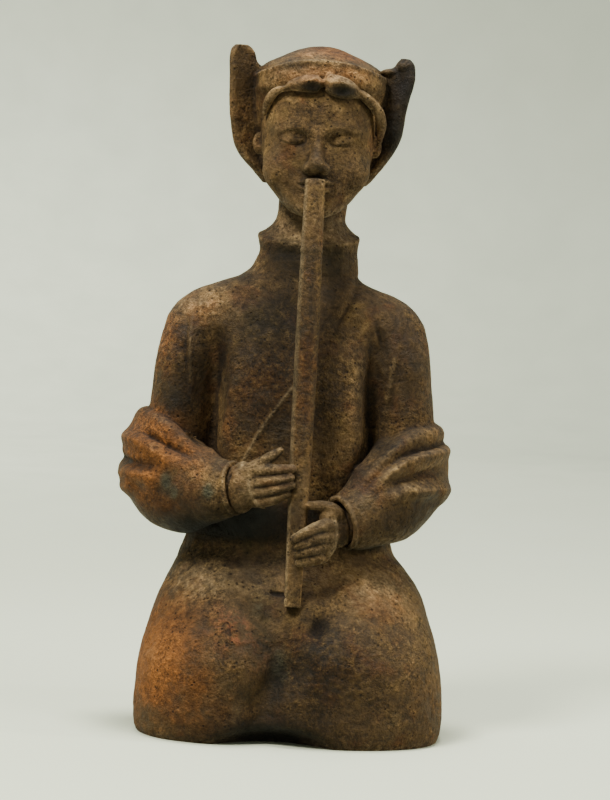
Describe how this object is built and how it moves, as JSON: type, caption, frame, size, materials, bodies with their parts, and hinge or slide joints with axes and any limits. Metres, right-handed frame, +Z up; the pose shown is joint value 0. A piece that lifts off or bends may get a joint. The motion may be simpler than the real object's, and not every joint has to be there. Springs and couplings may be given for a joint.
{
  "type": "pottery flute player figure",
  "caption": "Kneeling musician of fired clay in a robe and a cap with upright ear flaps, playing a long end-blown flute that reaches down to the lap.",
  "frame": {"origin": "centre of the figure's bounding box at the level of its underside", "axes": "+Z up along the height, -Y the way the figure faces, +X towards its left hand"},
  "size_m": [0.2765, 0.216, 0.56],
  "materials": {
    "fired_clay": "unglazed earthenware, matt, brown-grey with orange and dark patches"
  },
  "bodies": {
    "root": {"flute_player_figure": "fired_clay"}
  },
  "joints": []
}
